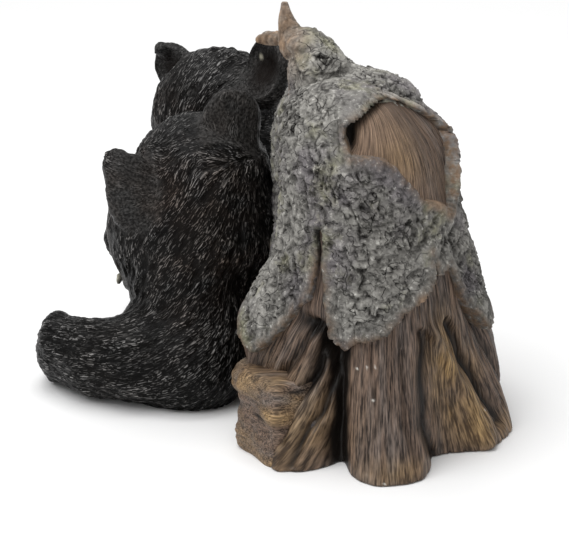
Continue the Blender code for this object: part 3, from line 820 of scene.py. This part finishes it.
def wood_relief(bearings, heights):
    """How far the wood is cut in: crevices, splits and three sizes of grain, in millimetres."""
    cut = np.zeros_like(bearings)
    wander = 2.2 * wood_grain(bearings, heights, 16.0, 22.0, 40)
    for line, depth, half in CUTS:
        cut = cut + depth * near_line(bearings + wander, heights, line, half)
    flow = grain_bearing(bearings, heights)
    broad = wood_grain(flow, heights, 12.0, 80.0, 41)
    middle = wood_grain(flow, heights, 5.0, 60.0, 42)
    fine = wood_grain(flow, heights, 2.2, 36.0, 43)
    splits = held(1.0 - np.abs(middle) * 6.0)
    narrow = held(1.0 - np.abs(wood_grain(flow, heights, 3.6, 44.0, 44)) * 5.0)
    return cut, 1.4 * broad + 0.6 * middle + 0.5 * fine - splits - 0.7 * narrow


def stump_surface(row_shares, climbs):
    """A grid round the stump: bearings, climb, heights, the trunk's radius, cuts and grain.

    Its columns are finer on the side that shows most.
    """
    share = np.arange(GRID_COLUMNS) / GRID_COLUMNS
    bearings = np.interp(share, (0.0, FINE_SHARE, 1.0), (FINE_START, FINE_END, FINE_START + 360.0))
    climb = np.interp(np.linspace(0.0, 1.0, GRID_ROWS), row_shares, climbs)
    climb, bearings = np.meshgrid(climb, bearings, indexing="ij")
    bearings = (bearings + 180.0) % 360.0 - 180.0
    heights = climb_height(climb)
    cut, grain = wood_relief(bearings, heights)
    return bearings, climb, heights, trunk_radius(bearings, heights), cut, grain


def stump_mesh(name, points):
    """A closed mesh of the grid's points, faces outwards."""
    mesh = bpy.data.meshes.new(name)
    rows, columns = points.shape[:2]
    mesh.from_pydata(points.reshape(-1, 3), [], grid_faces(rows, columns)[:, ::-1])
    return mesh


bearings, climb, heights, radius, cut, grain = stump_surface(*WOOD_ROWS)
# The bare patch above is worn smoother than the roots.
grain = grain * np.interp(heights, (160.0, 185.0), (1.0, 0.45))
points = stump_points(bearings, climb, radius - cut + grain)
mesh = stump_mesh("stump_wood", points)
ochre = np.zeros_like(bearings)
for *place, strength in OCHRE_SPOTS:
    ochre = np.maximum(ochre, strength * spot(bearings, heights, *place))
patch = held((heights - 165.0) / 20.0)
speck = np.zeros_like(bearings)
for bearing, height in SPECKS:
    gap = np.hypot(turned_by(bearings, bearing) * MM_PER_DEGREE * 1.2, heights - height)
    speck = np.maximum(speck, held(1.1 - gap))
# How far the wood is cut in sets how dark it is painted: partly the dark wash in its crevices, partly
# painted shade, above all under the rolled lip and in the hollow beside the main tongue.
carry(
    mesh,
    depth=held(cut / 8.0),
    grain=held(0.5 + grain * 0.22),
    ochre=ochre,
    tan=patch * np.clip((-34.0 - bearings) / 30.0, 0.15, 1.0),
    speck=speck,
    fan=fanned(grain_bearing(bearings, heights), heights) / 1000.0,
)

wood_paint, place = new_material("brown_wood_paint", 0.55, 0.30)
fan = place.read("fan", "Vector")
stretched = fan.vector("MULTIPLY", fan, (1.0, 1.0, 0.07))
hairs = stretched.noise(1250.0, 2.0, 0.6)
threads = stretched.vector("ADD", stretched, (0.3, 0.1, 0.0)).noise(560.0, 2.0, 0.5)
streaks = stretched.noise(95.0, 3.0, 0.55)
patches = place.noise(28.0, 3.0)
raised = place.read("grain") * 0.32 + hairs.between(0.38, 0.66) * 0.50
raised = (raised + threads.between(0.35, 0.7) * 0.36).between(0.24, 1.02)
plain_wood = raised.mix((0.018, 0.011, 0.008), (0.262, 0.180, 0.134))
grey_wood = raised.mix((0.026, 0.021, 0.019), (0.262, 0.222, 0.200))
tan_wood = raised.mix((0.064, 0.040, 0.028), (0.53, 0.365, 0.255))
ochre_wood = raised.mix((0.090, 0.052, 0.022), (0.58, 0.385, 0.180))
colour = streaks.between(0.46, 0.66).mix(plain_wood, grey_wood)
colour = place.read("tan").mix(colour, tan_wood)
colour = (place.read("ochre") * patches.between(0.25, 0.6)).mix(colour, ochre_wood)
# Cut-in wood is painted near-black: dark wash and painted shade.
colour = place.read("depth").between(0.20, 1.0).mix(colour, (0.008, 0.0055, 0.004))
colour = place.read("speck").mix(colour, (0.80, 0.77, 0.70))
bump = (hairs * 0.6 + threads * 0.4).bump(0.0014)
plug(wood_paint, Base_Color=colour, Normal=bump, Roughness=streaks.between(0.2, 0.8) * 0.2 + 0.40)
finish_piece(mesh, "stump_wood", points, wood_paint)


# The bark.
# A thick crust that hangs over the wood in ragged tongues and plates. It is cracked into
# flakes, and painted grey with green and yellow lichen; its cracks are painted darker, partly a
# dark wash and partly painted shade, and it is painted darker low on the trunk as shade.

# Closed outlines of bearings and heights: the ragged lower edge, and the two bare patches.
BARK_EDGE = (
    (-200, -80), (-200, 112), (-180, 112), (-166, 100), (-155, 84), (-145, 74),
    (-135, 93), (-129, 111), (-122, 122), (-119.5, 150), (-117.5, 158), (-115.5, 150),
    (-113.5, 124), (-109, 99), (-103, 92), (-97, 99), (-86, 106), (-80, 119), (-70, 125),
    (-62, 134), (-59, 156), (-56, 138), (-47, 142), (-42, 116), (-34, 102), (-25, 84),
    (-12, 92), (4, 84), (20, 112), (38, 92), (60, 118), (80, 96), (100, 124), (125, 100),
    (150, 128), (180, 112), (200, 112), (200, -80),
)
BARE_PATCH = (
    (-95.5, 252), (-96.5, 243), (-95.5, 234), (-94, 228), (-83, 227), (-75.5, 224.5),
    (-72, 220), (-69, 213), (-65, 205), (-60, 197), (-56.5, 190), (-51, 191),
    (-44, 187), (-38, 176), (-30, 178), (-22, 190), (-17, 205), (-9, 221),
    (-5, 232), (-9, 241), (-20, 250), (-30, 258), (-42, 263), (-56, 263.5),
    (-72, 260), (-86, 256),
)
FAR_PATCH = ((48, 228), (46, 190), (56, 164), (68, 170), (78, 200), (72, 232), (60, 238))
BARK_ROWS = ((0, 0.015, 0.03, 0.62, 1), (0, 0.08, 0.22, 0.80, 1))
BARK_DEPTH = 4.6
RIM_RISE = 2.6
RIM_WIDTH = 6.5
# How far the rim is drawn out over the wood.
HANG = 2.0
# The thick rolled lip over the bare patch, and a slit: lines of bearings and heights.
LIP_RISE = 9.0
LIP_HALF = 10.0
ROLLED_LIP = ((-96, 256), (-86, 262), (-72, 266.5), (-56, 268.5), (-38, 268.8))
SLIT_DEPTH = 7.0
SLIT_HALF = 2.4
BARK_SLIT = ((-117.5, 172), (-117, 150), (-115, 128))
# Torn layers along the patch: how far they reach, and each one's width and rise.
TORN_REACH = 18.0
LAYER_WIDTH = 5.0
LAYER_RISE = 6.0
# Torn edges that show pale wood: bearing, height and half-sizes in degrees and millimetres.
PALE_TEARS = (
    (-80, 111.5, 5, 3), (-72.5, 117, 2.5, 6), (-49, 184, 6, 8), (-38, 180, 5, 5),
    (-70, 126, 3, 4), (-94, 98, 5, 4),
)


def outline_gap(bearings, heights, outline):
    """Distance in millimetres to a closed outline of bearings and heights, below 0 inside it."""
    nearest = np.full(bearings.shape, np.inf)
    inside = np.zeros(bearings.shape, bool)
    for start, end in zip(outline, outline[1:] + outline[:1]):
        nearest = np.minimum(nearest, stretch_gap(bearings - start[0], heights, start, end))
        low, high = length_up(start[1]), length_up(end[1])
        if high != low:
            share = (length_up(heights) - low) / (high - low)
            crossing = (start[1] > heights) != (end[1] > heights)
            inside ^= crossing & (bearings < start[0] + (end[0] - start[0]) * share)
    return np.where(inside, -nearest, nearest)


def crease(points, sizes, reach, seed):
    """Winding lines where noise of the given sizes crosses zero, broken up by a broader noise."""
    lines = held(1.0 - np.abs(lumps(points / np.array(sizes), seed)) * reach)
    return lines * held(lumps(points / 14.0, seed + 1) * 3.0 + 0.55)


def bark_relief(points):
    """Height of the bark's face in millimetres, and how cracked it is.

    Flakes: a level that wanders over the bark is cut into steps, each rising to its edge and
    dropping there. Folds: 1 - 2 |n| for bent noise n. Creases are thin lines cut in.
    """
    bent = points + 3.5 * np.stack([lumps(points / 11.0, 60 + i) for i in range(3)], -1)
    flat = bent / np.array((1.0, 1.0, 0.6))
    level = 2.0 * lumps(bent / 24.0, 70) + 1.2 * lumps(flat / 11.0, 71) + 0.16 * lumps(flat / 4.5, 72)
    share = level - np.floor(level)
    drop = held(1.0 - np.minimum(share, 1.0 - share) / 0.09)
    folds = sum(
        size * (1.0 - 2.0 * np.abs(lumps(flat / (size * 6.0), 73 + i)))
        for i, size in enumerate((2.4, 1.1))
    )
    cracks = crease(bent, (12.0, 12.0, 7.0), 11.0, 80) + 0.5 * crease(bent, (6.5, 6.5, 4.2), 7.0, 84)
    relief = 1.2 * lumps(points / 28.0, 91) + 3.4 * (share - 0.5) + 0.55 * folds - 2.2 * cracks
    return relief, held(cracks + 0.6 * drop)


bearings, climb, heights, radius, cut, grain = stump_surface(*BARK_ROWS)
plain = stump_points(bearings, climb, radius)
ragged = 1.2 * lumps(plain / 9.0, 50) + 0.6 * lumps(plain / 3.0, 51)
outlines = (BARK_EDGE, BARE_PATCH, FAR_PATCH)
edge_gap, patch_gap, far_gap = (outline_gap(bearings, heights, each) for each in outlines)
edge = np.minimum.reduce([edge_gap, patch_gap, far_gap]) + ragged
relief, crack = bark_relief(plain)
# Thin torn layers follow the patch on its right, and a smooth rolled lip hangs over its left.
torn = np.exp(-(patch_gap / TORN_REACH) ** 4) * held((bearings + 52.0) / 10.0)
torn *= (np.abs(bearings) < 120.0) * held((heights - 178.0) / 12.0)
layer = patch_gap / LAYER_WIDTH + lumps(plain / 13.0, 52) + 0.4 * lumps(plain / 5.0, 53)
layer = layer - np.floor(layer)
rolled = near_line(bearings, heights, ROLLED_LIP, LIP_HALF)
rim = np.exp(-(np.maximum(edge, 0.0) / RIM_WIDTH) ** 2)
calm = 1.0 - 0.88 * np.maximum(rim, rolled)
# The slit is cut in and painted near-black as its shadow.
slit = near_line(bearings, heights, BARK_SLIT, SLIT_HALF)
layered = LAYER_RISE * layer - 1.6 + 0.4 * relief
relief = relief * calm * (1.0 - torn) + torn * layered - SLIT_DEPTH * slit
crack = np.maximum(crack * calm * (1.0 - torn) + torn * held(1.0 - layer * 3.0), slit)
pale = np.zeros_like(bearings)
for tear in PALE_TEARS:
    pale = np.maximum(pale, spot(bearings, heights, *tear) * held(1.5 - edge / 5.0))
crust = BARK_DEPTH + relief + RIM_RISE * rim + LIP_RISE * rolled
cover = held(edge / 1.6 + 0.5)
outer = radius + crust
under = radius - cut + grain - 4.0
lift = under + (outer - under) * cover
# The crust's rim is drawn out over the wood, so that it casts a shadow.
slope_up, slope_across = np.gradient(edge)
size = np.hypot(slope_up, slope_across) + 1e-6
hang = np.exp(-((edge - 1.0) / 2.2) ** 2) * HANG
drawn = (climb > 0.1) * (climb < 0.97)
climb = climb - hang * slope_up / size * SIDE_SHARE / SHOULDER_HEIGHT * drawn
bearings = bearings - hang * slope_across / size / MM_PER_DEGREE
points = stump_points(bearings, climb, lift)
mesh = stump_mesh("stump_bark", points)
# Painted shade: the bark is painted darker below 150 mm, low on the trunk.
shaded = 0.14 * held((150.0 - heights) / 45.0)
carry(
    mesh,
    crack=crack,
    lip=np.maximum(np.exp(-(np.maximum(edge, 0.0) / 3.5) ** 2), torn * 0.25),
    raised=held(0.47 - shaded + relief * 0.13),
    calm=calm,
    pale=pale,
)

bark_paint, place = new_material("grey_bark_paint", 0.75, 0.25)
crumbs = place.noise(320.0, 4.0, 0.62)
scales = place.noise(130.0, 3.0, 0.6)
cloud = place.noise(22.0, 3.0)
lichen = place.vector("ADD", place, (3.0, 1.0, 2.0)).noise(30.0, 4.0, 0.6)
bend = place.node("ShaderNodeTexNoise", {}, {"Vector": place, "Scale": 90.0}, "Color")
bent = bend.vector("MULTIPLY", bend.vector("ADD", place, bend.scaled(0.014)), (1.0, 1.0, 1.6))
calm = place.read("calm")
wide_veins = bent.veins(58.0, 0.016) * scales.between(0.40, 0.50)
middle_veins = bent.veins(120.0, 0.026) * scales.between(0.60, 0.48) * 0.5
fine_veins = bent.veins(260.0, 0.040) * cloud.between(0.40, 0.60) * 0.3
thin_crack = ((wide_veins + middle_veins + fine_veins) * calm).between(0.0, 1.0)
# The raised tone lightens the flakes as dry-brushing and darkens the low bark as painted shade.
tone = crumbs.between(0.34, 0.68) * 0.28 + place.read("raised") * 0.68
tone = (tone + scales.between(0.3, 0.7) * 0.22).between(0.24, 1.12)
grey = tone.mix((0.043, 0.040, 0.036), (0.48, 0.465, 0.428))
green = tone.mix((0.050, 0.050, 0.032), (0.51, 0.49, 0.355))
violet = tone.mix((0.040, 0.036, 0.038), (0.35, 0.325, 0.33))
brown = tone.mix((0.036, 0.021, 0.012), (0.33, 0.225, 0.150))
colour = cloud.between(0.48, 0.62).mix(grey, violet)
colour = lichen.between(0.56, 0.70).mix(colour, green)
colour = crumbs.between(0.60, 0.74).mix(colour, (0.58, 0.565, 0.52))
colour = (place.read("lip") * scales.between(0.34, 0.58)).mix(colour, brown)
colour = place.read("pale").mix(colour, tone.mix((0.08, 0.045, 0.025), (0.60, 0.42, 0.28)))
# Cracks are painted near-black: partly a dark wash, partly painted shade.
dark = (place.read("crack") * 0.75 + thin_crack * 0.85).between(0.0, 1.0)
colour = dark.mix(colour, (0.012, 0.010, 0.009))
plug(bark_paint, Base_Color=colour, Normal=(crumbs * 0.6 - thin_crack * 0.8).bump(0.0014))
finish_piece(mesh, "stump_bark", points, bark_paint)


# The broken top.
# Above the crust a torn block of bark and wood stands up to a spike, with a lip of pale broken
# wood behind the hugging cub's ear. It is modelled in the clay in one with the trunk.
TOP_CHUNKS = (
    ((-45, 66, 266), (22, 32, 28)), ((-54, 69, 289), (16, 20, 10)),
    ((-38, 62, 262), (19, 26, 24)), ((-36, 76, 238), (30, 46, 40)),
    ((-24, 60, 246), (44, 44, 26)), ((-12, 48, 247), (44, 45, 24)),
)
# The splinter that leans out, and the spike: centres and radii.
SPLINTER = ((-60, 78, 286, 10), (-72, 86, 287.5, 6), (-82, 90, 286.5, 5), (-88, 92, 285, 3.5))
SPIKE = ((-62, 72, 286, 12), (-68, 76, 302, 6.5), (-69.5, 79, 316.6, 2.4))
TOP_HEIGHT = 317.0
BLOCK_MESH = 1.2


def melted_block(name, grids):
    """Grids melted into one skin: its mesh, its points and their normals."""
    mesh = melted(rough_mesh(name, grids), BLOCK_MESH)
    return mesh, column(mesh.vertices, "co"), column(mesh.vertices, "normal")


grids = [egg_grid(centre, sizes, np.identity(3), 20, 30) for centre, sizes in TOP_CHUNKS]
for path in (SPIKE, SPLINTER):
    grids += limb_grids(path, 12 * len(path), 12, 16)
mesh, points, normals = melted_block("broken_top", grids)
across, _, up = points.T
relief, crack = bark_relief(points)
# Bare torn wood: a soft oval round the spike, and all of the splinter.
torn = np.exp(-((across + 72.0) / 15.0) ** 2 - ((up - 300.0) / 26.0) ** 2)
torn = np.maximum(torn, held((-64.0 - across) / 6.0) * (up < 290.0))
fibres = lumps(points / np.array((2.6, 2.6, 14.0)), 95)
relief = relief * (1.0 - torn)
calm = np.clip((316.0 - up) / 30.0, 0.15, 1.0)
moved = points + normals * (relief * 0.6 * calm + fibres * torn * 0.9)[:, None]
moved[:, 2] = np.minimum(moved[:, 2], TOP_HEIGHT)
raised = held(0.5 + relief * 0.14 + torn * fibres * 0.4)
carry(mesh, crack=crack * (1.0 - torn), lip=torn, raised=raised, calm=1.0 - torn, pale=torn * 0.55)
finish_piece(mesh, "broken_top", moved, bark_paint)


# The sawn root.
# A thick root was cut off square beside the nestling cub, and its end shows the marks of the
# saw. It is cast with the stump and dry-brushed with pale tan.

# Centre, half-sizes and bearing of the sawn block, and how square it is.
SAWN_ROOT = ((-65, -26, 28), (33, 27, 34), -146)
SQUARENESS = 7.0
ROOT_HEEL = ((-82, 0, 45), (26, 26, 18))


def block_grid(centre, halves, bearing):
    """A block with rounded edges: unit directions divided by their norm of the 7th power."""
    local = directions(64, 128)
    local /= (np.abs(local) ** SQUARENESS).sum(-1, keepdims=True) ** (1.0 / SQUARENESS)
    local = local * np.array(halves)
    turn = math.radians(bearing)
    ahead = np.array((math.cos(turn), math.sin(turn), 0.0))
    aside = np.array((-math.sin(turn), math.cos(turn), 0.0))
    flat = np.array(centre) + local[..., :1] * ahead + local[..., 1:2] * aside
    return flat + local[..., 2:] * (0.0, 0.0, 1.0)


grids = [block_grid(*SAWN_ROOT), egg_grid(*ROOT_HEEL, np.identity(3))]
mesh, points, normals = melted_block("sawn_root", grids)
strokes = lumps(points / np.array((13.0, 13.0, 2.8)), 96)
strokes += 0.6 * lumps(points / np.array((9.0, 9.0, 1.9)), 97)
broad = lumps(points / np.array((20.0, 20.0, 13.0)), 98)
moved = points + normals * (1.2 * strokes + 3.2 * broad)[:, None]
moved[:, 2] = np.maximum(moved[:, 2], 0.0)
# The saw's grooves are painted darker through depth, as the trunk's crevices are.
carry(
    mesh,
    depth=held(-0.5 - strokes) * 1.2,
    grain=held(0.5 + strokes * 0.35),
    ochre=np.clip(0.25 + broad * 0.9, 0.0, 0.8),
    tan=np.clip(-broad * 0.6, 0.0, 0.3),
    fan=points[:, [2, 1, 0]] / 1000.0,
)
finish_piece(mesh, "sawn_root", moved, wood_paint)
